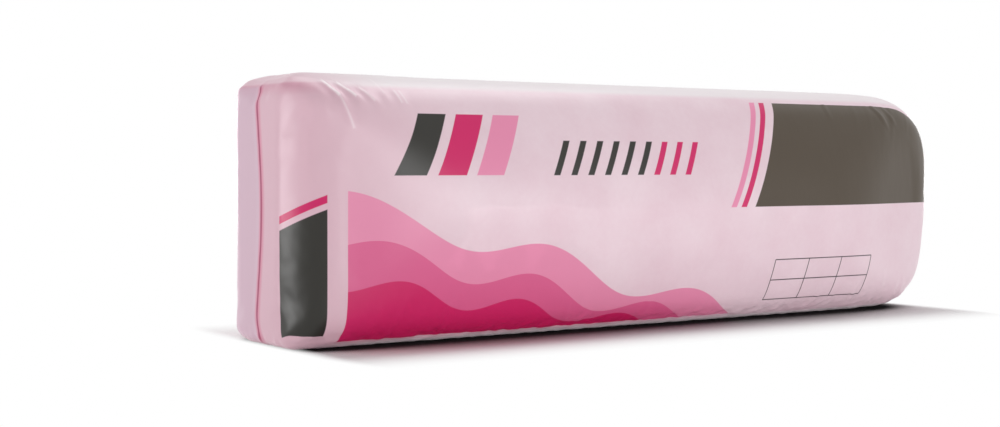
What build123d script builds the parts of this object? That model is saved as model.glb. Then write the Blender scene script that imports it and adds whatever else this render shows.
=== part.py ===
from build123d import *
import os

# Bag of compressed glass-wool batts, lying on its long edge.
# +X runs along the batts, the two wide sides face -Y and +Y, and Z = 0 is the floor.

# Batts in the bag
BATT_COUNT = 10
BATT_LENGTH = 1194.0
BATT_WIDTH = 371.0  # 381 mm when free, drawn in by the film
BATT_GAP = 0.6  # between two neighbours
BATT_FIT = 0.5  # between the stack and the film

# Film bag, outside
FILM = 1.0  # stands in for a film of about 0.1 mm
END_ROOM = 30.0  # past the batts at each end
END_DEPTH = 212.0  # across the stack, along its long edges and at its ends
SIDE_BULGE = 64.0  # how far a side stands out at mid height, over most of the length
EDGE_RADIUS = 44.0  # film drawn round the long edges of the stack
NEAR_SWELL = 180.0  # length over which a side swells out from the near end, at -X
FAR_SWELL = 240.0  # the same at the far end, at +X
NEAR_RADIUS = 20.0  # film drawn round the upper and lower edges of the near end
FAR_RADIUS = 105.0  # the same at the far end, where the film draws the batts in further
NEAR_CORNER = 35.0  # film drawn round the upright edges of the near end
FAR_CORNER = 20.0  # the same at the far end
END_CREASE = 0.8  # how far an end's round runs outside the flats above and below, to end in a crease

# Welded lap seam down the middle of each end
SEAM_WIDTH = 14.0
SEAM_STEP = 0.8  # how far the doubled film stands out

PACK_LENGTH = BATT_LENGTH + 2 * END_ROOM
PACK_HEIGHT = BATT_WIDTH + 2 * (FILM + BATT_FIT)
HALF_LENGTH = PACK_LENGTH / 2
MID_HEIGHT = PACK_HEIGHT / 2


def side(start, end, bulge):
    """One wide side of the barrel section, bowed outwards unless it is straight."""
    if bulge == 0:
        return Line(start, end)
    out = bulge if start[0] > 0 else -bulge
    return ThreePointArc(start, (start[0] + out, MID_HEIGHT), end)


def barrel(depth, bulge, low, high, radius):
    """Stack seen from its end, drawn along X: flat top and bottom, bowed sides and round edges."""
    half = depth / 2
    outline = Line((-half, low), (half, low))
    outline += side((half, low), (half, high), bulge)
    outline += Line((half, high), (-half, high))
    outline += side((-half, high), (-half, low), bulge)
    section = make_face(outline)
    if radius > 0:
        section = fillet(section.vertices(), radius)
    return extrude(Plane.YZ * section, PACK_LENGTH, both=True)


def plan(depth, bulge, half, near_corner, far_corner):
    """Stack seen from above, drawn along Z: each side swells out straight from both ends, past its full bulge."""
    near_rise = bulge / NEAR_SWELL
    far_rise = bulge / FAR_SWELL
    peak = 0 if bulge == 0 else half * (far_rise - near_rise) / (far_rise + near_rise)
    peak_out = depth / 2 + near_rise * (half + peak)
    corners = [(-half, -depth / 2), (peak, -peak_out), (half, -depth / 2)]
    corners += [(x, -y) for x, y in reversed(corners)]
    outline = make_face(Polyline(*corners, close=True))
    for place, radius in ((-half, near_corner), (half, far_corner)):
        if radius > 0:
            outline = fillet(outline.vertices().filter_by_position(Axis.X, place, place), radius)
    return extrude(outline, 2 * PACK_HEIGHT, both=True)


def end_cuts(inset, radius):
    """Corners taken off the upper and lower edges of the end at +X, to leave the film's round there."""
    reach = 2 * radius
    corner = Rectangle(reach, reach, align=(Align.MIN, Align.MIN)) - Circle(radius - inset + END_CREASE)
    place = Pos(HALF_LENGTH - radius, PACK_HEIGHT - radius)
    upper = extrude(Plane.XZ * place * corner, PACK_LENGTH, both=True)
    return upper + mirror(upper, about=Plane.XY.offset(MID_HEIGHT))


def pack_form(inset):
    """The whole pack's form with every face moved in by inset, and its edges rounded to suit."""
    depth = END_DEPTH - 2 * inset
    form = barrel(depth, SIDE_BULGE, inset, PACK_HEIGHT - inset, EDGE_RADIUS - inset)
    form &= plan(depth, SIDE_BULGE, HALF_LENGTH - inset, NEAR_CORNER - inset, FAR_CORNER - inset)
    form -= end_cuts(inset, FAR_RADIUS)
    return form - mirror(end_cuts(inset, NEAR_RADIUS), about=Plane.YZ)


def stack_form():
    """The stack of batts in the bag: square ends, and all else keeps to the film."""
    cut = Box(BATT_LENGTH, 2 * PACK_LENGTH, 2 * PACK_HEIGHT)
    return pack_form(FILM + BATT_FIT) & Pos(0, 0, MID_HEIGHT) * cut


def core(share, grow):
    """The middle share of the stack's depth, swelling with the pack, with its sides moved out by grow."""
    depth = share * END_DEPTH + 2 * grow
    bulge = share * SIDE_BULGE
    form = barrel(depth, bulge, -EDGE_RADIUS, PACK_HEIGHT + EDGE_RADIUS, 0)
    return form & plan(depth, bulge, HALF_LENGTH, 0, 0)


def seams():
    """Doubled film down the middle of both ends, wrapped over the edges above and below."""
    raised = pack_form(-SEAM_STEP)
    reach = PACK_LENGTH + 2 * EDGE_RADIUS
    band = Pos(0, 0, MID_HEIGHT) * Box(reach, SEAM_WIDTH, PACK_HEIGHT)
    between = Pos(0, 0, MID_HEIGHT) * Box(PACK_LENGTH - 2 * NEAR_RADIUS, SEAM_WIDTH, reach)
    return raised & (band - between)


bag = pack_form(0.0) + seams() - pack_form(FILM)

batts = stack_form()
for count in range(BATT_COUNT // 2, BATT_COUNT):
    share = 2 * count / BATT_COUNT - 1
    gap = core(share, BATT_GAP / 2)
    if share > 0:
        gap -= core(share, -BATT_GAP / 2)
    batts -= gap

os.makedirs("parts", exist_ok=True)
export_step(bag, "parts/bag.step")
export_step(batts, "parts/batts.step")
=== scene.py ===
# %% [markdown]
# # A bag of insulation batts
# Ten flat glass-wool batts are squeezed to a fraction of their thickness and closed up in one bag of thin printed
# film. The wool pushes back, so the two wide sides of the bag stand out in a bow, while the film stays tight along
# the edges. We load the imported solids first, because every size below has to agree with them.

# %% Load the frame
import math
import random
import bmesh
import bpy
import numpy as np
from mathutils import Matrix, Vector, noise


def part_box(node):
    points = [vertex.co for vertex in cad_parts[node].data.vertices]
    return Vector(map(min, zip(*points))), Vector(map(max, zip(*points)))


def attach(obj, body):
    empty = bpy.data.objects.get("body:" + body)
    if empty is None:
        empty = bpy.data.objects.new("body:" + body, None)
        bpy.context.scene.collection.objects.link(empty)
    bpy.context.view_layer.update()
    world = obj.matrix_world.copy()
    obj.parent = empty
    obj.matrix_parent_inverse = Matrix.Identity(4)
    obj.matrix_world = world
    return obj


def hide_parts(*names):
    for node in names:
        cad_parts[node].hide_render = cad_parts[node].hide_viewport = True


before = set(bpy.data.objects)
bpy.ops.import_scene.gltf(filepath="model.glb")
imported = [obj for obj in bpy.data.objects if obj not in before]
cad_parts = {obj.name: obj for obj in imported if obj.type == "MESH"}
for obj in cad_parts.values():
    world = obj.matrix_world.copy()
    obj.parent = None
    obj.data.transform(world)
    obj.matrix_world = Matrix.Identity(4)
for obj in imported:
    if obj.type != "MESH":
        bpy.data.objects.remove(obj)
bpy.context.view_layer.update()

MM = 0.001

# %% [markdown]
# ## The sizes of the bag
# The box of the solid bag gives its length, height and full depth. A few facts aren't in that box: how deep the bag
# is at its edges, where it doesn't bow, over what length a side swells out from each end, and how round each kind of
# edge is. They follow the solids, apart from a few rounds, which are softer here as film has them. The near end, at -X,
# is flat and the far end is drawn in round.

# %% Sizes of the bag
END_DEPTH = 212 * MM
SEAM_STEP = 0.8 * MM
NEAR_SWELL, FAR_SWELL = 180 * MM, 240 * MM
LEAST_ROUND = 20 * MM  # every edge has at least this
LONG_EDGE_ROUND = 44 * MM
NEAR_UPRIGHT_ROUND = 38 * MM
FAR_TOP_ROUND, FAR_FOOT_ROUND = 112 * MM, 84 * MM
FAR_UPRIGHT_MORE = 26 * MM  # how much rounder the far upright edges are at the top and the foot

low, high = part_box("bag")
length = high[0] - low[0] - 2 * SEAM_STEP
height = high[2] - low[2]
half_length, half_depth, mid_height = length / 2, END_DEPTH / 2, height / 2
side_bulge = (high[1] - low[1] - END_DEPTH) / 2
print(f"bag {length:.3f} x {END_DEPTH:.3f} x {height:.3f} m, each side bows out {side_bulge / MM:.0f} mm")

# %% [markdown]
# ## The bag as a box of film
# A bag like this could be lofted from sections, but film is made flat and only takes its bow from what is inside. So
# we do the same: a cube is stretched to the bag at its edges, all its edges are bevelled round, and the flat sides are
# divided into a grid of small squares, fine enough to bend and crease. The grid has an even number of squares across
# the depth, so that one row of vertices runs down the middle of each end, where the seam is.

# %% A box with round edges, in small squares
CELL = 8.4 * MM
ROUND_STEPS = 4

film = bmesh.new()
bmesh.ops.create_cube(film, size=1)
bmesh.ops.scale(film, vec=(length, END_DEPTH, height), verts=film.verts)
bmesh.ops.translate(film, vec=(0, 0, mid_height), verts=film.verts)
bmesh.ops.bevel(
    film,
    geom=film.edges[:],
    offset=LEAST_ROUND,
    offset_type="OFFSET",
    segments=ROUND_STEPS,
    profile=0.5,
    affect="EDGES",
    material=-1,
)
for axis, span in enumerate((length, END_DEPTH, height)):
    run = span - 2 * LEAST_ROUND
    cuts = 2 * round(run / CELL / 2) - 1
    straight = [e for e in film.edges if abs(e.verts[0].co[axis] - e.verts[1].co[axis]) > run / 2]
    bmesh.ops.subdivide_edges(film, edges=straight, cuts=cuts, use_grid_fill=True)
print(f"box of film: {len(film.faces)} faces")

# %% [markdown]
# ## Where the print goes
# The print is laid on the film while it is flat, and bends with it later. Each face corner gets a place on the
# flat film in metres: along the bag and round its ends for the first number, and up the side for the second. Both
# wide sides carry the same print, so the back is laid out as the front is, seen from its own side. Each vertex also
# keeps its place on the box, which tells us later where an edge or an end is.

# %% Lay the film's own places
on_box = film.verts.layers.float_vector.new("on_box")
for vert in film.verts:
    vert[on_box] = vert.co.copy()
flat_film = film.loops.layers.uv.new("flat_film")
for face in film.faces:
    facing = -1 if face.calc_center_median().y > 0 else 1
    for loop in face.loops:
        x, y, z = loop.vert.co
        along, up = facing * x, z - mid_height
        past_end, past_side = abs(x) - half_length + LEAST_ROUND, abs(y) - half_depth + LEAST_ROUND
        past_top = abs(up) - mid_height + LEAST_ROUND
        if past_end > 0:
            turned = LEAST_ROUND * math.atan2(past_end, max(past_side, 0)) + max(-past_side, 0)
            along = math.copysign(half_length - LEAST_ROUND + turned, along)
        if past_top > 0:
            turned = LEAST_ROUND * math.asin(min(past_top / LEAST_ROUND, 1)) + max(min(-past_side, -past_end), 0)
            up = math.copysign(mid_height - LEAST_ROUND + turned, up)
        loop[flat_film].uv = (along, up)
film_reach = max(loop[flat_film].uv.x for face in film.faces for loop in face.loops)
print(f"the flat film reaches {film_reach:.3f} m each way")

# %% [markdown]
# ## Rounder edges
# The bevel gave every edge the same small round, but the film is drawn much rounder along the bag and at its far end.
# Bevelling each edge by its own width makes a tangle where three of them meet, so we push the vertices instead: round
# the middle of the wanted arc, each one moves in along its ray until the square corner has become that arc.

# %% Round the edges further
def reach_of_corner(across, up, radius):
    """How far the small-rounded corner reaches along a ray from the middle of a larger round."""
    reach = radius / max(across, up)
    flat = radius - LEAST_ROUND
    if reach * min(across, up) > flat:
        lean = flat * (across + up)
        reach = lean + math.sqrt(max(lean * lean - 2 * flat * flat + LEAST_ROUND**2, 0))
    return reach


def draw_round(place, first, second, first_end, second_end, radius):
    """Draw a place in to a larger round where two sides of the box meet, given by their axes and where they end."""
    centre = (abs(first_end) - radius, abs(second_end) - radius)
    across = place[first] * math.copysign(1, first_end) - centre[0]
    up = place[second] * math.copysign(1, second_end) - centre[1]
    away = math.hypot(across, up)
    if across <= 0 or up <= 0:
        return
    share = radius / reach_of_corner(across / away, up / away, radius)
    place[first] = math.copysign(centre[0] + across * share, first_end)
    place[second] = math.copysign(centre[1] + up * share, second_end)


def round_edges(verts):
    """Give the long edges, the near upright edges and the far end their own rounds."""
    for vert in verts:
        place = vert.co.copy()
        place.z -= mid_height
        far_upright = LEAST_ROUND + FAR_UPRIGHT_MORE * (place.z / mid_height) ** 2
        for out in (half_depth, -half_depth):
            for up in (mid_height, -mid_height):
                draw_round(place, 1, 2, out, up, LONG_EDGE_ROUND)
            draw_round(place, 0, 1, half_length, out, far_upright)
            draw_round(place, 0, 1, -half_length, out, NEAR_UPRIGHT_ROUND)
        draw_round(place, 0, 2, half_length, mid_height, FAR_TOP_ROUND)
        draw_round(place, 0, 2, half_length, -mid_height, FAR_FOOT_ROUND)
        place.z += mid_height
        vert.co = place


round_edges(film.verts)
far_flat = [v.co.z for v in film.verts if v.co.x > half_length - MM]
print(f"the far end's flat is now {max(far_flat) - min(far_flat):.3f} m high")

# %% [markdown]
# ## The bow of the sides
# Seen from its end the bag is a barrel: a side stands out furthest at mid height. Seen from above, a side swells out
# from each end over a hand's length or two. The film takes the smaller of the two at every place, with a soft
# change between them. On top of that comes a little unevenness, because no two batts push back quite alike.

# %% Swell the sides
UNEVEN, UNEVEN_RUN = 2.2 * MM, 130 * MM  # height and size of the unevenness
SOFT_CHANGE = 20 * MM
FAR_OUT, FAR_OUT_AT = 9 * MM, 243 * MM  # how far the far end leans out, and at what height
FAR_CURVE = 0.62  # how fast it draws in above and below, per metre
FAR_RUN = 300 * MM  # length of bag that leans with it
SMOOTH_RUN, SMOOTH_TIMES = 140 * MM, 12


def soft_least(first, second, blend):
    """The smaller of two numbers, rounded off where they are nearly equal."""
    near = max(blend - abs(first - second), 0) / blend
    return min(first, second) - near * near * blend / 4


def bow(x, z):
    """How far a side stands out at a place along the bag and a height."""
    near_end = side_bulge * max(half_length + x, 0) / NEAR_SWELL
    far_end = side_bulge * max(half_length - x, 0) / FAR_SWELL
    across = side_bulge * (1 - ((z - mid_height) / mid_height) ** 2)
    return soft_least(min(near_end, far_end), across, SOFT_CHANGE)


def far_out(x, z):
    """How far the far end stands out past the solid at a height, and draws in above and below it."""
    near_far_end = min(max((x - half_length + FAR_RUN) / FAR_RUN, 0), 1) ** 2
    return (FAR_OUT - FAR_CURVE * (z - FAR_OUT_AT) ** 2) * near_far_end


for vert in film.verts:
    x, y, z = vert.co
    out = bow(x, z)
    out += UNEVEN * noise.noise(Vector((x, y, z)) / UNEVEN_RUN) * out / side_bulge
    vert.co.y = y * (1 + out / half_depth)
    vert.co.x += far_out(x, z)
far_verts = [v for v in film.verts if v[on_box].x > half_length - SMOOTH_RUN]
for turn in range(SMOOTH_TIMES):
    bmesh.ops.smooth_vert(film, verts=far_verts, factor=0.5, use_axis_x=True, use_axis_y=True, use_axis_z=True)
film.normal_update()
print(f"the swollen film is {max(v.co.y for v in film.verts) * 2:.3f} m deep")

# %% [markdown]
# ## Film drawn tight by the wool
# Now the film becomes cloth. Its long edges and ends are where a real bag has film to spare, because a flat tube can't
# wrap a box without some left over. A vertex group marks that slack, and the Cloth modifier makes the film a little
# larger there while the wool's pressure keeps it out. Gravity is off, because the bag is held by what is in it. Each
# vertex may move only a few millimetres, so the bag stays the size that it is.

# %% Make the bag a piece
mesh = bpy.data.meshes.new("film_bag")
film.to_mesh(mesh)
film.free()
bag = bpy.data.objects.new("film_bag", mesh)
bpy.context.scene.collection.objects.link(bag)


def film_array(name, data):
    """One vector per vertex of the bag's mesh, as an array."""
    values = np.empty(len(data) * 3, np.float32)
    data.foreach_get(name, values)
    return values.reshape(-1, 3)


def set_places(places):
    """Put the bag's vertices at these places."""
    bag.data.vertices.foreach_set("co", np.ascontiguousarray(places, np.float32).ravel())
    bag.data.update()


print(bag.name, "has", len(mesh.vertices), "vertices")

# %% Simulate the film
SLACK = 0.05  # share by which the slack film is larger than the box under it
SLACK_RUN = 75 * MM  # how far the slack reaches from an end or a long edge
EDGE_SLACK = 0.6  # the long edges have this share of the ends' slack
LET_GO = 1.4  # the film is held less the slacker it is, by this factor
MOST_MOVE = 4 * MM
FRAMES = 20


def simulate_film():
    """Let the slack film settle under the wool's pressure, and keep where it settled."""
    box_places = film_array("vector", bag.data.attributes["on_box"].data)
    before = film_array("co", bag.data.vertices)
    from_end = half_length - np.abs(box_places[:, 0])
    from_edge = mid_height - np.abs(box_places[:, 2] - mid_height)
    loose = np.exp(-((from_end / SLACK_RUN) ** 2)) + EDGE_SLACK * np.exp(-((from_edge / SLACK_RUN) ** 2))
    loose = np.clip(loose, 0, 1) * (box_places[:, 2] > LEAST_ROUND)
    slack = bag.vertex_groups.new(name="slack")
    held = bag.vertex_groups.new(name="held")
    for number, share in enumerate(loose):
        slack.add([number], float(share), "REPLACE")
        held.add([number], float(np.clip(1 - LET_GO * share, 0, 1)), "REPLACE")
    cloth = bag.modifiers.new("film", "CLOTH").settings
    cloth.quality = 6
    cloth.mass = 0.05
    cloth.tension_stiffness = cloth.compression_stiffness = 20
    cloth.shear_stiffness = 10
    cloth.bending_stiffness = 0.6
    cloth.use_pressure = True
    cloth.uniform_pressure_force = 4
    cloth.vertex_group_shrink = slack.name
    cloth.shrink_min, cloth.shrink_max = 0, -SLACK
    cloth.vertex_group_mass = held.name
    cloth.pin_stiffness = 1
    cloth.effector_weights.gravity = 0
    scene = bpy.context.scene
    for step in range(1, FRAMES + 1):
        scene.frame_set(step)
    settled = bpy.data.meshes.new_from_object(bag.evaluated_get(bpy.context.evaluated_depsgraph_get()))
    after = film_array("co", settled.vertices)
    bpy.data.meshes.remove(settled)
    bag.modifiers.clear()
    bag.vertex_groups.clear()
    scene.frame_set(1)
    moves = after - before
    far = np.linalg.norm(moves, axis=1)
    set_places(before + moves * np.minimum(1, MOST_MOVE / np.maximum(far, 1e-9))[:, None])
    print(f"the film moved {far.mean() / MM:.1f} mm on average and {far.max() / MM:.1f} mm at most before the cap")


simulate_film()

# %% One subdivision
smoother = bag.modifiers.new("smoother", "SUBSURF")
smoother.levels = smoother.render_levels = 1
finer = bpy.data.meshes.new_from_object(bag.evaluated_get(bpy.context.evaluated_depsgraph_get()))
bag.modifiers.clear()
bag.data = finer
bpy.data.meshes.remove(mesh)
bag.data.name = "film_bag"
bag.data.shade_smooth()
print("after one subdivision:", len(bag.data.polygons), "faces")

# %% [markdown]
# ## Creases
# Where a corner takes up more film than it needs, the film stands in sharp little folds that run out from the corner
# and die away. They are what catches the light on a real bag. A fold is thinner than the cloth's squares, so it is put
# in afterwards: each is a path on the box, and the film near it rises by a narrow ridge with a shallow dip beside it.
# The folds at the upper corners of the front follow the photograph. Those at the back are the same ones moved along and
# made lower, and the rest are drawn by a seeded random generator. The lower edges, which the bag's weight presses on,
# are crinkled all along by a noise.

# %% Fold the film along a path
places = film_array("co", bag.data.vertices)
box_places = film_array("vector", bag.data.attributes["on_box"].data)
outwards = film_array("vector", bag.data.vertex_normals)
DIP_SHARE, DIP_AT = 0.2, 2.1  # depth of the dip beside a fold, and how many widths off it lies
FULL_FROM, BLUNT = 0.08, 0.7  # how high a fold starts, and how soon it is at its full height


def fold(path, rise, width):
    """Raise a narrow fold along a path on the box, full in its middle and dying away at its ends."""
    lift = np.zeros(len(places))
    best = np.full(len(places), 1e9)
    path = [np.array(point) * MM for point in path]
    lengths = [np.linalg.norm(b - a) for a, b in zip(path, path[1:])]
    done = 0
    for start, end, run in zip(path, path[1:], lengths):
        way = (end - start) / run
        along = (box_places - start) @ way
        off = box_places - start - np.outer(np.clip(along, 0, run), way)
        apart = np.linalg.norm(off, axis=1)
        nearer = apart < best
        share = np.clip((done + np.clip(along, 0, run)) / sum(lengths), 0, 1)
        shape = np.exp(-((apart / width) ** 2)) - DIP_SHARE * np.exp(-((apart / width - DIP_AT) ** 2))
        fullness = np.sin(math.pi * (FULL_FROM + (1 - FULL_FROM) * share)) ** BLUNT
        lift = np.where(nearer, rise * shape * fullness, lift)
        best = np.minimum(best, apart)
        done += run
    places[:] += outwards * lift[:, None]


print("the film can be folded at", len(places), "vertices")

# %% Folds at the upper corners
# Each fold: its path on the box, how high it rises and how wide it is, in millimetres
CORNER_FOLDS = [
    ([(-583, -88, 374), (-579, -97, 370), (-567, -106, 347), (-552, -106, 301)], 3.0, 4.6),
    ([(-566, -90, 374), (-559, -100, 369), (-543, -106, 346), (-531, -106, 325)], 2.4, 4.4),
    ([(-538, -92, 374), (-530, -104, 362), (-517, -106, 340), (-509, -106, 324)], 1.8, 4.2),
    ([(-500, -92, 374), (-497, -105, 355), (-495, -106, 330)], 1.0, 4.0),
    ([(-480, -94, 374), (-478, -105, 355), (-475, -106, 322)], 1.4, 4.0),
    ([(-471, -94, 374), (-469, -105, 355), (-467, -106, 320)], 1.2, 4.0),
    ([(-596, -80, 374), (-590, -104, 350), (-586, -106, 300)], 1.2, 5.0),
    ([(464, -96, 370), (470, -106, 351), (490, -106, 306)], 1.0, 3.8),
    ([(490, -102, 364), (500, -106, 344), (514, -106, 315)], 0.9, 3.8),
]
BACK_SHIFT, BACK_SHARE = 16, 0.5  # how much further along the folds at the back lie, and how high they are
for path, rise, width in CORNER_FOLDS:
    fold(path, rise * MM, width * MM)
    fold([(x + BACK_SHIFT, -y, z) for x, y, z in path], BACK_SHARE * rise * MM, width * MM)
print(2 * len(CORNER_FOLDS), "folds at the upper corners")

# %% Folds at the other corners
# Places and sizes are in millimetres
side_at, top_at = half_depth / MM, height / MM  # a wide side and the top, on the box
FOLDS_PER_CORNER, FIRST_FOLD, NEXT_FOLD = 5, 60, 38  # how many, and how far from the end they lie
BEND_DOWN, BEND_BACK, LEAN_SHARE = 26, 6, 0.45  # where a fold bends over the edge, and how it leans from there
LOW_SHARE = 0.6  # the folds at the foot are shorter
FRONT_SHARE = 0.3  # at the far upper corner of the front, they are low beside those above
chance = random.Random(11)
folds = 0
for end, side, up in ((-1, 1, -1), (-1, -1, -1), (1, 1, 1), (1, -1, 1), (1, 1, -1), (1, -1, -1)):
    for number in range(FOLDS_PER_CORNER):
        out = FIRST_FOLD + NEXT_FOLD * number + chance.uniform(-10, 10)
        reach = chance.uniform(35, 85) * (LOW_SHARE if up < 0 else 1)
        top = top_at * (1 + up) / 2
        x = end * (half_length / MM - out)
        path = [
            (x, side * chance.uniform(84, 96), top),
            (x - end * BEND_BACK, side * side_at, top - up * BEND_DOWN),
            (x - end * reach * LEAN_SHARE, side * side_at, top - up * (BEND_DOWN + reach)),
        ]
        rise = chance.uniform(0.7, 1.6) * (FRONT_SHARE if (end, side, up) == (1, -1, 1) else 1)
        fold(path, rise * MM, chance.uniform(3.8, 5.5) * MM)
        folds += 1
print(folds, "folds at the other corners")

# %% Folds along the edges
EDGE_FOLDS, EDGE_FROM, EDGE_DOWN = 34, 92, 20  # how many, and where each starts and bends
for number in range(EDGE_FOLDS):
    side, up = chance.choice((1, -1)), chance.choice((1, -1, -1))
    x, lean, reach = chance.uniform(-480, 470), chance.uniform(-14, 14), chance.uniform(14, 40)
    top = top_at * (1 + up) / 2
    path = [
        (x, side * EDGE_FROM, top),
        (x + lean, side * side_at, top - up * EDGE_DOWN),
        (x + 2 * lean, side * side_at, top - up * (EDGE_DOWN + reach)),
    ]
    fold(path, chance.uniform(0.5, 1.3) * MM, chance.uniform(3.6, 5.0) * MM)
print(EDGE_FOLDS, "folds along the edges")

# %% Crinkled lower edges
CRINKLED_HIGH = 9 * MM  # height at which the film is crinkled most
CRINKLE_RISE, CRINKLE_RUN = 2.4 * MM, 13 * MM
for number in np.flatnonzero(box_places[:, 2] < 3 * CRINKLED_HIGH):
    rise = CRINKLE_RISE * math.exp(-((box_places[number, 2] / CRINKLED_HIGH - 1) ** 2))
    places[number] += outwards[number] * rise * noise.noise(Vector(box_places[number]) / CRINKLE_RUN)
print("the lower edges are crinkled by up to", CRINKLE_RISE / MM, "mm")

# %% [markdown]
# ## The lap seams
# The tube of film is closed by a weld that runs down the middle of each end. One edge of the film lies over the
# other, and because it was pressed by hand the line wanders a little. The upper layer stands out by its own thickness
# and stops at a sharp edge. At the top of the near end the spare film is folded down flat, and the folded edge stands
# out a little below a shallow dip. Both are too thin to model as sheets of their own, so the film is raised there.

# %% Weld the ends
SEAM_WIDE, SEAM_RISE = 15 * MM, 0.9 * MM
SEAM_EDGE, SEAM_FADE, SEAM_RIDGE = 2.5 * MM, 8 * MM, 3.2 * MM  # widths of its edge, its far edge and the ridge
SEAM_SWAY, SEAM_RUN, SEAM_OFF = 9 * MM, 420 * MM, -6 * MM  # how it wanders, and where its middle is
SEAM_FURTHEST = 190 * MM  # height at which it is furthest to the front
SEAM_SHIFT = 2 * math.pi * (0.5 - SEAM_FURTHEST / SEAM_RUN)
SEAM_FROM, SEAM_START = 14 * MM, 8 * MM  # how far from the end it starts, and over what length


def seam_line(z):
    """Where the seam's edge is across an end, at a height."""
    return SEAM_OFF + SEAM_SWAY * np.cos(2 * math.pi * z / SEAM_RUN + SEAM_SHIFT)


at_end = np.clip((np.abs(box_places[:, 0]) - half_length + SEAM_FROM) / SEAM_START, 0, 1)
past_edge = box_places[:, 1] - seam_line(places[:, 2])
layer = np.clip(past_edge / SEAM_EDGE, 0, 1) * np.clip((SEAM_WIDE - past_edge) / SEAM_FADE, 0, 1)
ridge = np.exp(-((past_edge / SEAM_RIDGE) ** 2))
places += outwards * (at_end * SEAM_RISE * (layer + ridge))[:, None]
print("seams are", SEAM_WIDE / MM, "mm wide")

# %% Fold down the top of the near end
FOLD_AT = 361 * MM  # height of the folded edge
FOLD_RISE, FOLD_WIDE = 1.5 * MM, 3.2 * MM
FOLD_DIP, FOLD_DIP_WIDE, FOLD_DIP_UP = 1.2 * MM, 4 * MM, 7 * MM  # the dip, and how far above the edge it is
FOLD_HALF, FOLD_FADE = 96 * MM, 30 * MM  # it reaches this far to both sides, and fades over this
on_end = box_places[:, 0] < LEAST_ROUND - half_length
across_end = np.clip((FOLD_HALF - np.abs(box_places[:, 1])) / FOLD_FADE, 0, 1)
above_fold = box_places[:, 2] - FOLD_AT
brim = FOLD_RISE * np.exp(-((above_fold / FOLD_WIDE) ** 2))
brim -= FOLD_DIP * np.exp(-(((above_fold - FOLD_DIP_UP) / FOLD_DIP_WIDE) ** 2))
places += outwards * (on_end * across_end * brim)[:, None]
places[:, 2] = np.maximum(places[:, 2], 0)
set_places(places)
print("the folded edge is", FOLD_AT / MM, "mm up")

# %% [markdown]
# ## Colours and nodes
# Colours are written as they are seen, in sRGB hex, and one function turns them into the linear numbers that Blender
# works with. A second one adds a node with its settings and links, which keeps the materials short enough to read.

# %% Two small helpers
def colour(text):
    """A linear colour from an sRGB hex value."""
    parts = [int(text[i:i + 2], 16) / 255 for i in (1, 3, 5)]
    return tuple(c / 12.92 if c <= 0.04045 else ((c + 0.055) / 1.055) ** 2.4 for c in parts) + (1.0,)


def add_node(tree, kind, settings=None, inputs=None):
    """Add a node, set what it is set to, and link or fill its inputs."""
    made = tree.nodes.new(kind)
    for name, value in (settings or {}).items():
        setattr(made, name, value)
    for name, value in (inputs or {}).items():
        if isinstance(value, bpy.types.NodeSocket):
            tree.links.new(value, made.inputs[name])
        else:
            made.inputs[name].default_value = value
    return made


print("the middle grey #808080 in linear numbers:", round(colour("#808080")[0], 3))

# %% [markdown]
# ## Printed polyethylene film
# The film is blown polyethylene, thin and slick. Where the pink wool presses against it, it looks pink, and on the top
# and underneath, where it bridges from batt to batt, it goes milky. Along the top the milky colour is also a painted
# sheen, lighter for the bright room reflected in the round. We start with its colour before any print: soft clouds of
# wool, a pinker near end, the milky top with its painted sheen, and the seams and the tuck, where two layers lie on
# each other and the pink is deeper, with painted shade beside a seam's edge and under the folded edge. Each is a mask
# from one place to another along the bag, up it or round it.

# %% The film before printing
film_finish = bpy.data.materials.new("printed_polyethylene")
film_finish.use_nodes = True
tree = film_finish.node_tree
tree.nodes.clear()
flat = add_node(tree, "ShaderNodeUVMap", {"uv_map": "flat_film"}).outputs["UV"]
here = add_node(tree, "ShaderNodeTexCoord").outputs["Object"]
along, up, _ = add_node(tree, "ShaderNodeSeparateXYZ", None, {0: flat}).outputs
x_here, y_here, z_here = add_node(tree, "ShaderNodeSeparateXYZ", None, {0: here}).outputs

WOOL_SHOWS, FILM_CLEAR = "#E3C7D1", "#EAD4DC"
CLOUD = 90 * MM  # wool shows through as pale clouds of about this size
TUFT_SEEN, TUFT_SHARE = 9 * MM, 0.35  # and as fainter tufts, drawn coarser than they are so that they show
LEAST_SEEN, MOST_SEEN = 0.4, 0.95  # the noises' sum runs from about here to here
clouds = add_node(
    tree, "ShaderNodeTexNoise", None, {"Vector": here, "Scale": 1 / CLOUD, "Detail": 2, "Roughness": 0.5}
).outputs["Fac"]
tufts = add_node(
    tree, "ShaderNodeTexNoise", None, {"Vector": here, "Scale": 1 / TUFT_SEEN, "Detail": 3, "Roughness": 0.6}
).outputs["Fac"]
wool_seen = add_node(
    tree, "ShaderNodeMath", {"operation": "MULTIPLY_ADD"}, {0: tufts, 1: TUFT_SHARE, 2: clouds}
).outputs[0]
wool_seen = add_node(tree, "ShaderNodeMapRange", None, {0: wool_seen, 1: LEAST_SEEN, 2: MOST_SEEN}).outputs[0]


def layer_over(below, mask, ink_colour):
    """The film's colour with one more layer over it."""
    return add_node(
        tree, "ShaderNodeMix", {"data_type": "RGBA"}, {0: mask, 6: below, 7: colour(ink_colour)}
    ).outputs[2]


bare = add_node(
    tree, "ShaderNodeMix", {"data_type": "RGBA"}, {0: wool_seen, 6: colour(WOOL_SHOWS), 7: colour(FILM_CLEAR)}
).outputs[2]
print("wool shows through in clouds of", CLOUD / MM, "mm")
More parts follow.
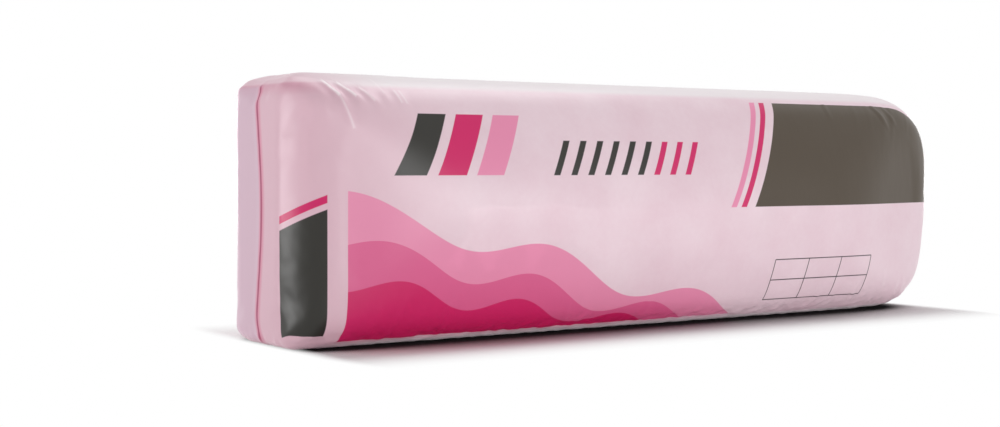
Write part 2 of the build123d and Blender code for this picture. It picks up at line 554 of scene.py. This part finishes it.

# %% Pinker near end, and milky top and foot with a painted sheen on top
# Along the top the milky colour is also a painted sheen: the film is lighter there for the bright room reflected in the
# round.
NEAR_PINK, MILKY_AND_SHEEN = "#DDB6C3", "#EBE3E6"
PINK_FROM, PINK_FULL = 260 * MM, 5 * MM  # how far from the near end the pink starts and is full
CLEAR_NEAR, MILKY_SHEEN_NEAR = 5 * MM, 150 * MM  # how far from the near end the film is clear and milky
CLEAR_FAR, MILKY_SHEEN_FAR = 15 * MM, 120 * MM  # the same from the far end
MILKY_SHEEN_SHARE = 0.9
MILKY_SHEEN_RUNS = [(172 * MM, 186 * MM), (-190 * MM, -197 * MM)]  # from clear to milky, up and down from mid height
near_end = add_node(
    tree, "ShaderNodeMapRange", None, {0: x_here, 1: PINK_FROM - half_length, 2: PINK_FULL - half_length}
).outputs[0]
bare = layer_over(bare, near_end, NEAR_PINK)
along_bag = add_node(
    tree, "ShaderNodeMapRange", None, {0: x_here, 1: CLEAR_NEAR - half_length, 2: MILKY_SHEEN_NEAR - half_length}
).outputs[0]
short_of_far_end = add_node(
    tree, "ShaderNodeMapRange", None, {0: x_here, 1: half_length - CLEAR_FAR, 2: half_length - MILKY_SHEEN_FAR}
).outputs[0]
along_bag = add_node(
    tree, "ShaderNodeMath", {"operation": "MULTIPLY"}, {0: along_bag, 1: short_of_far_end}
).outputs[0]
for clear, full in MILKY_SHEEN_RUNS:
    milky_and_sheen = add_node(
        tree, "ShaderNodeMapRange", {"interpolation_type": "SMOOTHSTEP"}, {0: up, 1: clear, 2: full, 4: MILKY_SHEEN_SHARE}
    ).outputs[0]
    milky_and_sheen = add_node(tree, "ShaderNodeMath", {"operation": "MULTIPLY"}, {0: milky_and_sheen, 1: along_bag}).outputs[0]
    bare = layer_over(bare, milky_and_sheen, MILKY_AND_SHEEN)
print("the film goes milky", MILKY_SHEEN_RUNS[0][0] / MM, "mm above mid height")

# %% Tuck and painted shade under the folded edge
# Under the folded edge the pink is deeper, from the doubled film and from painted shade, and it is darkest right at the
# edge.
TUCK_PINK_AND_SHADE, TUCK_TALL, TUCK_SHARE = "#CF8DA3", 17 * MM, 0.7
TUCK_EDGE = 3 * MM
TUCK_GONE, TUCK_FULL = 70 * MM, 15 * MM  # how far from the near end
tuck_and_shade = add_node(
    tree, "ShaderNodeMapRange", None, {0: z_here, 1: FOLD_AT - TUCK_TALL, 2: FOLD_AT, 4: TUCK_SHARE}
).outputs[0]
under_fold = add_node(tree, "ShaderNodeMapRange", None, {0: z_here, 1: FOLD_AT + TUCK_EDGE, 2: FOLD_AT}).outputs[0]
on_near_end = add_node(
    tree, "ShaderNodeMapRange", None, {0: x_here, 1: TUCK_GONE - half_length, 2: TUCK_FULL - half_length}
).outputs[0]
for mask in (under_fold, on_near_end):
    tuck_and_shade = add_node(tree, "ShaderNodeMath", {"operation": "MULTIPLY"}, {0: tuck_and_shade, 1: mask}).outputs[0]
bare = layer_over(bare, tuck_and_shade, TUCK_PINK_AND_SHADE)
print("the tuck is", TUCK_TALL / MM, "mm tall")

# %% Where the seam shows
SHOWS_FROM, SHOWS_FULL = 8 * MM, 14 * MM  # how far round the corner of an end, on the flat film
GONE_HIGH, FULL_HIGH = 188 * MM, 176 * MM  # how far from mid height, on the flat film
ABOVE_FOLD, BELOW_FOLD = 1 * MM, 4 * MM  # gone and full, from the folded edge
round_end = add_node(tree, "ShaderNodeMath", {"operation": "ABSOLUTE"}, {0: along}).outputs[0]
at_an_end = add_node(
    tree, "ShaderNodeMapRange", None, {0: round_end, 1: half_length + SHOWS_FROM, 2: half_length + SHOWS_FULL}
).outputs[0]
from_middle = add_node(tree, "ShaderNodeMath", {"operation": "ABSOLUTE"}, {0: up}).outputs[0]
under_top = add_node(tree, "ShaderNodeMapRange", None, {0: from_middle, 1: GONE_HIGH, 2: FULL_HIGH}).outputs[0]
below_fold = add_node(
    tree, "ShaderNodeMapRange", None, {0: z_here, 1: FOLD_AT + ABOVE_FOLD, 2: FOLD_AT - BELOW_FOLD}
).outputs[0]
for mask in (under_top, below_fold):
    at_an_end = add_node(tree, "ShaderNodeMath", {"operation": "MULTIPLY"}, {0: at_an_end, 1: mask}).outputs[0]
sway = add_node(
    tree, "ShaderNodeMath", {"operation": "MULTIPLY_ADD"}, {0: z_here, 1: 2 * math.pi / SEAM_RUN, 2: SEAM_SHIFT}
).outputs[0]
sway = add_node(tree, "ShaderNodeMath", {"operation": "COSINE"}, {0: sway}).outputs[0]
sway = add_node(
    tree, "ShaderNodeMath", {"operation": "MULTIPLY_ADD"}, {0: sway, 1: SEAM_SWAY, 2: SEAM_OFF}
).outputs[0]
past_seam = add_node(tree, "ShaderNodeMath", {"operation": "SUBTRACT"}, {0: y_here, 1: sway}).outputs[0]
off_seam = add_node(tree, "ShaderNodeMath", {"operation": "ABSOLUTE"}, {0: past_seam}).outputs[0]
print("the seam shows from", FOLD_AT / MM, "mm down")

# %% Doubled film, shade and weld line
SEAM_LAYERS = [  # colour, what is measured, from none to full, and the share at full
    ("#C9B3C6", past_seam, -2 * MM, 2 * MM, 0.45),
    ("#D98CA6", off_seam, 9 * MM, 4 * MM, 0.75),
    ("#A63D63", off_seam, 2.4 * MM, 1.4 * MM, 0.9),
]
for seam_colour, measure, none, full, share in SEAM_LAYERS:
    there = add_node(tree, "ShaderNodeMapRange", None, {0: measure, 1: none, 2: full, 4: share}).outputs[0]
    there = add_node(tree, "ShaderNodeMath", {"operation": "MULTIPLY"}, {0: there, 1: at_an_end}).outputs[0]
    bare = layer_over(bare, there, seam_colour)
print(len(SEAM_LAYERS), "layers of colour on the seams")

# %% [markdown]
# ## The print
# The print is ink on the film, so it shares the film's gloss and only changes its colour. All of it is plain shapes:
# a taupe block with a slanted edge, slanted bars, layered waves like the layers of wool, a ruled table with nothing
# in it, and a charcoal corner at each end. Straight shapes are cut out of the flat film by their edges, one after
# the other, and a wave is a line to stay under.

# %% Straight shapes
TAUPE, CHARCOAL, MAGENTA, ROSE, BLUSH = "#483D30", "#211F1A", "#CC1E63", "#E58CAE", "#D9608F"
EDGE_BLUR = 0.5 * MM
LEAN = -28  # degrees by which blocks, bars and ticks lean over


def printed_area(edges, centre=(0, 0), sheet=flat, blur=EDGE_BLUR):
    """Mask of an area with straight edges, each given as the way it faces in degrees and how far off it is."""
    place = add_node(
        tree, "ShaderNodeVectorMath", {"operation": "SUBTRACT"}, {0: sheet, 1: (centre[0], centre[1], 0)}
    ).outputs[0]
    past = None
    for facing, reach in edges:
        angle = math.radians(facing)
        towards = add_node(
            tree,
            "ShaderNodeVectorMath",
            {"operation": "DOT_PRODUCT"},
            {0: place, 1: (math.cos(angle), math.sin(angle), 0)},
        ).outputs["Value"]
        beyond = add_node(tree, "ShaderNodeMath", {"operation": "SUBTRACT"}, {0: towards, 1: reach}).outputs[0]
        if past is not None:
            beyond = add_node(tree, "ShaderNodeMath", {"operation": "MAXIMUM"}, {0: past, 1: beyond}).outputs[0]
        past = beyond
    return add_node(tree, "ShaderNodeMapRange", None, {0: past, 1: blur, 2: -blur}).outputs[0]


def slanted_bar(centre, width, tall, lean):
    """Edges of an upright bar that leans over, for printed_area."""
    return [(lean, width / 2), (180 + lean, width / 2), (90, tall / 2), (270, tall / 2)], centre


print("areas are cut out with edges", 2 * EDGE_BLUR / MM, "mm soft")

# %% Block, bars and ticks
# Places and sizes are in metres on the flat film, from the middle of a side
BLOCK_FROM, BLOCK_MID, BLOCK_HALF, BLOCK_LONG = 0.19, 0.083, 0.085, 0.46
STRIPES, STRIPE_FROM, STRIPE_STEP, STRIPE_WIDE = (MAGENTA, ROSE), 0.166, -0.021, 0.010
BARS, BAR_FROM, BAR_MID, BAR_STEP, BAR_SIZE = (CHARCOAL, MAGENTA, ROSE), -0.455, 0.092, 0.062, (0.040, 0.085)
TICKS, TICK_FROM, TICK_MID, TICK_STEP, TICK_SIZE = 9, -0.225, 0.074, 0.031, (0.010, 0.050)
DARK_TICKS = 6

block = [(180 + LEAN, 0), (90, BLOCK_HALF), (270, BLOCK_HALF), (0, BLOCK_LONG)]
ink = layer_over(bare, printed_area(block, (BLOCK_FROM, BLOCK_MID)), TAUPE)
for number, bar_colour in enumerate(STRIPES):
    bar = slanted_bar((STRIPE_FROM + STRIPE_STEP * number, BLOCK_MID), STRIPE_WIDE, 2 * BLOCK_HALF, LEAN)
    ink = layer_over(ink, printed_area(*bar), bar_colour)
for number, bar_colour in enumerate(BARS):
    bar = slanted_bar((BAR_FROM + BAR_STEP * number, BAR_MID), *BAR_SIZE, LEAN)
    ink = layer_over(ink, printed_area(*bar), bar_colour)
for number in range(TICKS):
    tick = slanted_bar((TICK_FROM + TICK_STEP * number, TICK_MID), *TICK_SIZE, LEAN)
    ink = layer_over(ink, printed_area(*tick), CHARCOAL if number < DARK_TICKS else MAGENTA)
print("straight shapes drawn with", len(tree.nodes), "nodes")

# %% Waves
LEFT_LIMIT, RIGHT_LIMIT, LOW_LIMIT = -0.560, 0.5, -0.186
WAVES = [  # height at the left, swing, run from crest to crest, shift, how fast it falls, and colour
    (0.010, 0.020, 0.30, 0.4, 0.26, ROSE),
    (-0.045, 0.017, 0.24, 2.2, 0.22, BLUSH),
    (-0.095, 0.014, 0.20, 4.1, 0.17, MAGENTA),
]
inside = printed_area([(180, -LEFT_LIMIT), (270, -LOW_LIMIT), (0, RIGHT_LIMIT)])
for level, swing, run, shift, fall, wave_colour in WAVES:
    turn = add_node(
        tree, "ShaderNodeMath", {"operation": "MULTIPLY_ADD"}, {0: along, 1: 2 * math.pi / run, 2: shift}
    ).outputs[0]
    turn = add_node(tree, "ShaderNodeMath", {"operation": "SINE"}, {0: turn}).outputs[0]
    crest = add_node(
        tree, "ShaderNodeMath", {"operation": "MULTIPLY_ADD"}, {0: along, 1: -fall, 2: level + fall * LEFT_LIMIT}
    ).outputs[0]
    crest = add_node(
        tree, "ShaderNodeMath", {"operation": "MULTIPLY_ADD"}, {0: turn, 1: swing, 2: crest}
    ).outputs[0]
    below = add_node(tree, "ShaderNodeMath", {"operation": "SUBTRACT"}, {0: up, 1: crest}).outputs[0]
    wave = add_node(tree, "ShaderNodeMapRange", None, {0: below, 1: EDGE_BLUR, 2: -EDGE_BLUR}).outputs[0]
    wave = add_node(tree, "ShaderNodeMath", {"operation": "MULTIPLY"}, {0: wave, 1: inside}).outputs[0]
    ink = layer_over(ink, wave, wave_colour)
print(len(WAVES), "waves")

# %% Ruled table
left, bottom, right, top = 0.205, -0.155, 0.430, -0.088
CELLS, LINE = (3, 2), 1.6 * MM
middle = ((left + right) / 2, (bottom + top) / 2)
for number in range(CELLS[0] + 1):
    bar = slanted_bar((left + (right - left) * number / CELLS[0], middle[1]), LINE, top - bottom, 0)
    ink = layer_over(ink, printed_area(*bar), CHARCOAL)
rule = [(0, (right - left) / 2), (180, (right - left) / 2), (90, LINE / 2), (270, LINE / 2)]
for number in range(CELLS[1] + 1):
    rule_at = (middle[0], bottom + (top - bottom) * number / CELLS[1])
    ink = layer_over(ink, printed_area(rule, rule_at), CHARCOAL)
print("ruled table of", CELLS[0] * CELLS[1], "cells")

# %% Charcoal corners
CORNER_AT, CORNER_HALF, CORNER_DOWN, CORNER_TILT = (-0.622, -0.01), 0.036, 0.160, 22
BAND_LOW, BAND_HIGH = 0.008, 0.018  # a band above the corner, from its slanted edge
upright = [(0, CORNER_HALF), (180, CORNER_HALF)]
corner = upright + [(270, CORNER_DOWN), (90 + CORNER_TILT, 0)]
band = upright + [(270 + CORNER_TILT, -BAND_LOW), (90 + CORNER_TILT, BAND_HIGH)]
ink = layer_over(ink, printed_area(corner, CORNER_AT), CHARCOAL)
ink = layer_over(ink, printed_area(band, CORNER_AT), MAGENTA)
print("print drawn with", len(tree.nodes), "nodes")

# %% [markdown]
# ## Painted highlights on the creases
# The sharp folds at the near upper corner of the front catch the light, so each carries a painted highlight: a thin
# soft pale line, drawn over film and print alike.

# %% Painted highlights
CREASE_HIGHLIGHTS = [  # start and end along the bag and up from mid height in metres, share, and width in millimetres
    ((-0.579, 0.178), (-0.567, 0.159), 0.95, 3.0),
    ((-0.567, 0.159), (-0.552, 0.114), 0.50, 1.5),
    ((-0.559, 0.175), (-0.543, 0.158), 0.85, 2.6),
    ((-0.530, 0.169), (-0.517, 0.152), 0.50, 2.0),
    ((-0.499, 0.182), (-0.496, 0.163), 0.30, 1.5),
    ((-0.478, 0.166), (-0.475, 0.150), 0.55, 1.6),
    ((-0.470, 0.166), (-0.467, 0.149), 0.50, 1.4),
]
# The pale colour is a painted highlight, standing for the light that a sharp fold catches.
HIGHLIGHT_PAINT, HIGHLIGHT_BLUR = "#FFF8FA", 2.2 * MM
side_view = add_node(tree, "ShaderNodeCombineXYZ", None, {0: x_here, 1: z_here}).outputs[0]
on_front = add_node(tree, "ShaderNodeMath", {"operation": "LESS_THAN"}, {0: y_here, 1: 0}).outputs[0]
for start, end, share, wide in CREASE_HIGHLIGHTS:
    run = math.dist(start, end)
    facing = math.degrees(math.atan2(end[1] - start[1], end[0] - start[0]))
    reach = wide * MM / 2
    edges = [(facing, run / 2), (facing + 180, run / 2), (facing + 90, reach), (facing - 90, reach)]
    centre = ((start[0] + end[0]) / 2, (start[1] + end[1]) / 2 + mid_height)
    line = printed_area(edges, centre, side_view, HIGHLIGHT_BLUR)
    for part in (share, on_front):
        line = add_node(tree, "ShaderNodeMath", {"operation": "MULTIPLY"}, {0: line, 1: part}).outputs[0]
    ink = layer_over(ink, line, HIGHLIGHT_PAINT)
print(len(CREASE_HIGHLIGHTS), "pale lines on the front")

# %% [markdown]
# ## Gloss and fine crinkles
# Film is glossy, but its gloss is soft because it is never quite smooth. A noise stretched across the bag gives it the
# fine crinkles that are too small to model, as a bump of a fraction of a millimetre.

# %% Finish the film
CRINKLE, CRINKLE_HIGH = 26 * MM, 0.9 * MM
CRINKLE_STRETCH = (1.0, 0.6, 0.35)  # longer across the bag and up it than along it
stretched = add_node(tree, "ShaderNodeMapping", None, {0: here, "Scale": CRINKLE_STRETCH}).outputs[0]
crinkles = add_node(
    tree, "ShaderNodeTexNoise", None, {"Vector": stretched, "Scale": 1 / CRINKLE, "Detail": 2}
).outputs["Fac"]
bump = add_node(
    tree, "ShaderNodeBump", None, {"Strength": 0.35, "Distance": CRINKLE_HIGH, "Height": crinkles}
).outputs[0]
shader = add_node(
    tree,
    "ShaderNodeBsdfPrincipled",
    None,
    {"Base Color": ink, "Roughness": 0.36, "IOR": 1.5, "Specular IOR Level": 0.4, "Normal": bump},
)
add_node(tree, "ShaderNodeOutputMaterial", None, {"Surface": shader.outputs[0]})
bag.data.materials.clear()
bag.data.materials.append(film_finish)
print(film_finish.name, "has", len(tree.nodes), "nodes")

# %% [markdown]
# ## The batts inside
# Nobody sees the batts until the bag is cut open, but a part should have in it what the real one has. Each batt is a
# slab with soft edges, bent to its share of the bag's bow, so that the ten lie face to face like leaves. They stay a
# little inside the film. A noise as fine as tufts of wool keeps their faces from looking machined.

# %% Ten batts
BATT_COUNT, BATT_LENGTH = 10, 1194 * MM
BATT_INSET = 9 * MM  # clear of the film and its creases
BATT_GAP = 0.6 * MM
BATT_SOFT_EDGE = 5 * MM
TUFT, TUFT_HIGH = 14 * MM, 0.25 * MM
CUTS_ALONG, CUTS_UP = 59, 17  # enough for a batt to bend smoothly

stack = bmesh.new()
stack_depth = END_DEPTH - 2 * BATT_INSET
thick = stack_depth / BATT_COUNT
for number in range(BATT_COUNT):
    batt = bmesh.ops.create_cube(stack, size=1)["verts"]
    bmesh.ops.scale(stack, vec=(BATT_LENGTH, thick - BATT_GAP, height - 2 * BATT_INSET), verts=batt)
    bmesh.ops.translate(stack, vec=(0, (number + 0.5) * thick - stack_depth / 2, mid_height), verts=batt)
bmesh.ops.bevel(
    stack,
    geom=stack.edges[:],
    offset=BATT_SOFT_EDGE,
    offset_type="OFFSET",
    segments=2,
    profile=0.5,
    affect="EDGES",
    material=-1,
)
for axis, run, cuts in ((0, BATT_LENGTH / 2, CUTS_ALONG), (2, height / 2, CUTS_UP)):
    straight = [e for e in stack.edges if abs(e.verts[0].co[axis] - e.verts[1].co[axis]) > run]
    bmesh.ops.subdivide_edges(stack, edges=straight, cuts=cuts, use_grid_fill=True)
print(f"ten flat batts, {thick / MM:.1f} mm from one to the next")

# %% Bend the batts to the bag
for vert in stack.verts:
    share = vert.co.y / (stack_depth / 2)
    place = Vector((vert.co.x, 0, vert.co.z - mid_height))
    for up in (mid_height - BATT_INSET, BATT_INSET - mid_height):
        draw_round(place, 0, 2, BATT_LENGTH / 2, up, FAR_TOP_ROUND)
    vert.co.z = place.z + mid_height
    vert.co.x = place.x + min(far_out(place.x, vert.co.z), 0)
    corner = max(abs(place.z) - (mid_height - BATT_INSET - LONG_EDGE_ROUND), 0) / LONG_EDGE_ROUND
    draw_in = (1 - math.sqrt(1 - min(corner, 1) ** 2)) * LONG_EDGE_ROUND
    vert.co.y += share * (bow(vert.co.x, vert.co.z) - draw_in) + TUFT_HIGH * noise.noise(vert.co / TUFT)
stack.normal_update()
print(f"ten batts, {2 * max(v.co.y for v in stack.verts):.3f} m deep at the widest")

# %% Make the batts a piece
batts_mesh = bpy.data.meshes.new("wool_batts")
stack.to_mesh(batts_mesh)
stack.free()
batts = bpy.data.objects.new("wool_batts", batts_mesh)
bpy.context.scene.collection.objects.link(batts)
batts_mesh.shade_smooth()
print(batts.name, "has", len(batts_mesh.polygons), "faces")

# %% [markdown]
# ## Glass wool
# Glass wool is spun glass fibre held by a binder, here dyed pink. It is dull and fluffy, so it has no gloss to speak
# of. A fine noise does for its strands, both in the colour and as a bump.

# %% Glass wool
WOOL_DEEP, WOOL_PALE = "#D98CA4", "#F0B4C4"
STRAND_SEEN, FLUFF = 6 * MM, 1.5 * MM  # strands, drawn coarser than they are, and how high they stand
wool_finish = bpy.data.materials.new("glass_wool")
wool_finish.use_nodes = True
tree = wool_finish.node_tree
tree.nodes.clear()
here = add_node(tree, "ShaderNodeTexCoord").outputs["Object"]
strands = add_node(
    tree, "ShaderNodeTexNoise", None, {"Vector": here, "Scale": 1 / STRAND_SEEN, "Detail": 6}
).outputs["Fac"]
tint = add_node(
    tree, "ShaderNodeMix", {"data_type": "RGBA"}, {0: strands, 6: colour(WOOL_DEEP), 7: colour(WOOL_PALE)}
).outputs[2]
fluff = add_node(tree, "ShaderNodeBump", None, {"Strength": 0.6, "Distance": FLUFF, "Height": strands}).outputs[0]
shader = add_node(
    tree, "ShaderNodeBsdfPrincipled", None, {"Base Color": tint, "Roughness": 0.95, "Normal": fluff}
)
add_node(tree, "ShaderNodeOutputMaterial", None, {"Surface": shader.outputs[0]})
batts_mesh.materials.append(wool_finish)
print(wool_finish.name, "is on", batts.name)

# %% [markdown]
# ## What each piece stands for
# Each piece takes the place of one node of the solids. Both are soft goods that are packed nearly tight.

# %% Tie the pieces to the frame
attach(bag, "root")
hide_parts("bag")
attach(batts, "root")
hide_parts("batts")
print("film_bag stands for bag, and wool_batts for batts")

# %% [markdown]
# ## Floor
# The floor is a sheet of white paper that fades into the white surroundings and keeps the bag's shadow. The fade is a
# white glow that only the camera and reflections see, so the bag is lit by plain paper. Close under the bag, where the
# bag closes the paper in, a painted shadow darkens the paper's own colour to nearly black. Again, only the camera and
# reflections see this. An Ambient Occlusion node tells how open each place is.

# %% A sheet of paper
FLOOR_HALF = 6
floor_shape = bmesh.new()
bmesh.ops.create_grid(floor_shape, x_segments=1, y_segments=1, size=FLOOR_HALF)
floor_mesh = bpy.data.meshes.new("floor")
floor_shape.to_mesh(floor_mesh)
floor_shape.free()
floor = bpy.data.objects.new("floor", floor_mesh)
bpy.context.scene.collection.objects.link(floor)
print("the floor is", 2 * FLOOR_HALF, "m square")

# %% How far a place is from the bag
END_SHORT, SIDE_SHORT = 40 * MM, 10 * MM  # the fade starts this far under the bag
END_STEEP = (4, 1, 1)  # past the ends it is steeper
FADE_RUN = 160 * MM
paper = bpy.data.materials.new("white_paper")
paper.use_nodes = True
tree = paper.node_tree
tree.nodes.clear()
here = add_node(tree, "ShaderNodeTexCoord").outputs["Object"]
footprint = (half_length - END_SHORT, half_depth + side_bulge - SIDE_SHORT, 0)
away = add_node(tree, "ShaderNodeVectorMath", {"operation": "ABSOLUTE"}, {0: here}).outputs[0]
for operation, value in (("SUBTRACT", footprint), ("MAXIMUM", (0, 0, 0)), ("MULTIPLY", END_STEEP)):
    away = add_node(tree, "ShaderNodeVectorMath", {"operation": operation}, {0: away, 1: value}).outputs[0]
away = add_node(tree, "ShaderNodeVectorMath", {"operation": "LENGTH"}, {0: away}).outputs["Value"]
fade = add_node(
    tree, "ShaderNodeMapRange", {"interpolation_type": "SMOOTHSTEP"}, {0: away, 1: 0, 2: FADE_RUN}
).outputs[0]
bounced = add_node(tree, "ShaderNodeLightPath").outputs["Is Diffuse Ray"]
fade = add_node(
    tree, "ShaderNodeMath", {"operation": "SUBTRACT", "use_clamp": True}, {0: fade, 1: bounced}
).outputs[0]
print("the shadow fades out over", FADE_RUN / MM, "mm")

# %% Painted shadow under the bag, white beyond
# The paper's own colour is darkened to nearly black where the bag closes it in. This painted shadow is seen by the
# camera and in reflections.
SHADE_REACH = 300 * MM
DARK_AT, PLAIN_AT = 0.22, 0.7  # how open a place is where the paper is darkest, and where it is plain
PAINTED_SHADOW_DARKEST, PLAIN = 0.02, 0.95
openness = add_node(
    tree, "ShaderNodeAmbientOcclusion", {"samples": 16}, {"Distance": SHADE_REACH}
).outputs["AO"]
openness = add_node(tree, "ShaderNodeMath", {"operation": "MAXIMUM"}, {0: openness, 1: bounced}).outputs[0]
paper_with_painted_shadow = add_node(
    tree,
    "ShaderNodeMapRange",
    {"interpolation_type": "SMOOTHSTEP"},
    {0: openness, 1: DARK_AT, 2: PLAIN_AT, 3: PAINTED_SHADOW_DARKEST, 4: PLAIN},
).outputs[0]
sheet = add_node(tree, "ShaderNodeBsdfDiffuse", None, {"Color": paper_with_painted_shadow})
glow = add_node(tree, "ShaderNodeEmission", None, {"Color": (1, 1, 1, 1), "Strength": 1})
mixed = add_node(tree, "ShaderNodeMixShader", None, {0: fade, 1: sheet.outputs[0], 2: glow.outputs[0]})
add_node(tree, "ShaderNodeOutputMaterial", None, {"Surface": mixed.outputs[0]})
floor_mesh.materials.append(paper)
print(paper.name, "has", len(tree.nodes), "nodes")

# %% [markdown]
# ## Light and camera
# The light is that of a plain studio: a white room that lights softly from all round, and five soft boxes, one above,
# one before and one behind the bag, and one beyond either end. The room is white to the camera and in reflections, and
# weaker as a light. The camera stands where the photograph was taken from, a little above the floor.

# %% White room
ROOM_LEVEL = 0.34
room = bpy.data.worlds.new("white_room")
bpy.context.scene.world = room
room.use_nodes = True
tree = room.node_tree
tree.nodes.clear()
path = add_node(tree, "ShaderNodeLightPath").outputs
seen = path["Is Camera Ray"]
for kind in ("Is Transmission Ray", "Is Glossy Ray"):
    seen = add_node(tree, "ShaderNodeMath", {"operation": "MAXIMUM"}, {0: seen, 1: path[kind]}).outputs[0]
level = add_node(tree, "ShaderNodeMapRange", None, {0: seen, 3: ROOM_LEVEL, 4: 1}).outputs[0]
sky = add_node(tree, "ShaderNodeBackground", None, {"Color": (1, 1, 1, 1), "Strength": level})
add_node(tree, "ShaderNodeOutputWorld", None, {"Surface": sky.outputs[0]})
print("the room lights the bag at", ROOM_LEVEL)


# %% Soft boxes
def soft_box(name, place, target, size, power):
    """A large lamp that faces the target, with its size in metres and its power in watts."""
    lamp = bpy.data.lights.new(name, "AREA")
    lamp.shape = "RECTANGLE"
    lamp.size, lamp.size_y = size
    lamp.energy = power
    box = bpy.data.objects.new(name, lamp)
    box.location = place
    box.rotation_euler = (Vector(target) - Vector(place)).to_track_quat("-Z", "Y").to_euler()
    bpy.context.scene.collection.objects.link(box)
    print(name, "has", power, "W")


soft_box("top_box", (0.1, 0.6, 2.3), (0, 0, 0.1), (2.6, 1.0), 25)
soft_box("front_box", (0.45, -3.2, 0.45), (0.1, 0, 0.2), (2.8, 0.8), 46)
soft_box("left_box", (-3.3, 0.6, 0.15), (-0.6, 0, 0.2), (1.4, 0.5), 34)
soft_box("back_box", (0.6, 3.2, 0.4), (0, 0, 0.2), (2.6, 0.7), 26)
soft_box("right_box", (2.9, 1.7, 0.35), (0.6, 0, 0.2), (1.4, 0.5), 20)

# %% Camera
lens = bpy.data.cameras.new("camera")
lens.sensor_width = 36
lens.lens = 55.97
lens.shift_y = -0.0487
camera = bpy.data.objects.new("camera", lens)
camera.location = (-1.5668, -1.9601, 0.2510)
camera.rotation_euler = (math.radians(90), 0, math.radians(-34.4))
bpy.context.scene.collection.objects.link(camera)
bpy.context.scene.camera = camera
bpy.context.scene.view_settings.view_transform = "Standard"
print("camera of", lens.lens, "mm")
